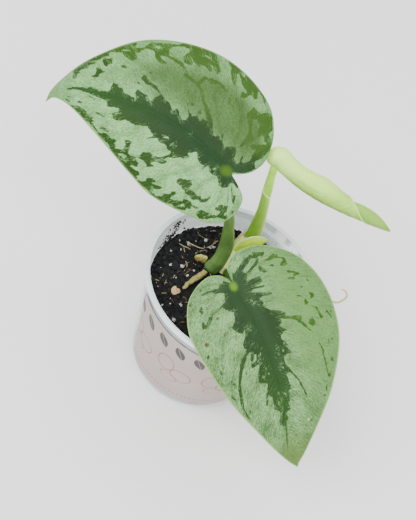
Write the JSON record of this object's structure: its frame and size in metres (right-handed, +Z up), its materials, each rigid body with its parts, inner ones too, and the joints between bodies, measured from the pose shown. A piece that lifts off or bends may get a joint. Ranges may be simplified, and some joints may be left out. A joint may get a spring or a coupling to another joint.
{
  "type": "potted trebie satin pothos",
  "caption": "Young satin pothos with two silver-green leaves and a rolled new leaf, growing in a small clear nursery pot with a wrap-round label.",
  "frame": {"origin": "centre of the pot's flat base, on the surface it stands on", "axes": "+Z up along the pot's axis, +X towards the lower leaf's side and the new leaf's tip, -Y towards the viewer"},
  "size_m": [0.1316, 0.0691, 0.1094],
  "materials": {
    "pot": "thin clear plastic with a faint frosting",
    "label": "satin white sticker paper",
    "soil": "damp dark peat mix with perlite",
    "stem": "cream stem, slightly waxy",
    "petiole_green": "mid green, slightly waxy",
    "petiole_lime": "yellow green, slightly waxy",
    "dry_scale": "dry papery cream",
    "root": "dull corky root",
    "leaf": "satin silver green with dark green blotches",
    "leaf_new": "satin pale lime"
  },
  "bodies": {
    "root": {"pot": "pot", "label": "label", "soil": "soil", "stem": "stem", "petiole_upper": "petiole_green", "petiole_lower": "petiole_green", "petiole_new": "petiole_lime", "cataphyll": "petiole_lime", "dry_scale": "dry_scale", "root_thick": "root", "root_stub": "root", "root_hook": "root", "leaf_upper": "leaf", "leaf_lower": "leaf", "leaf_new": "leaf_new"}
  },
  "joints": []
}
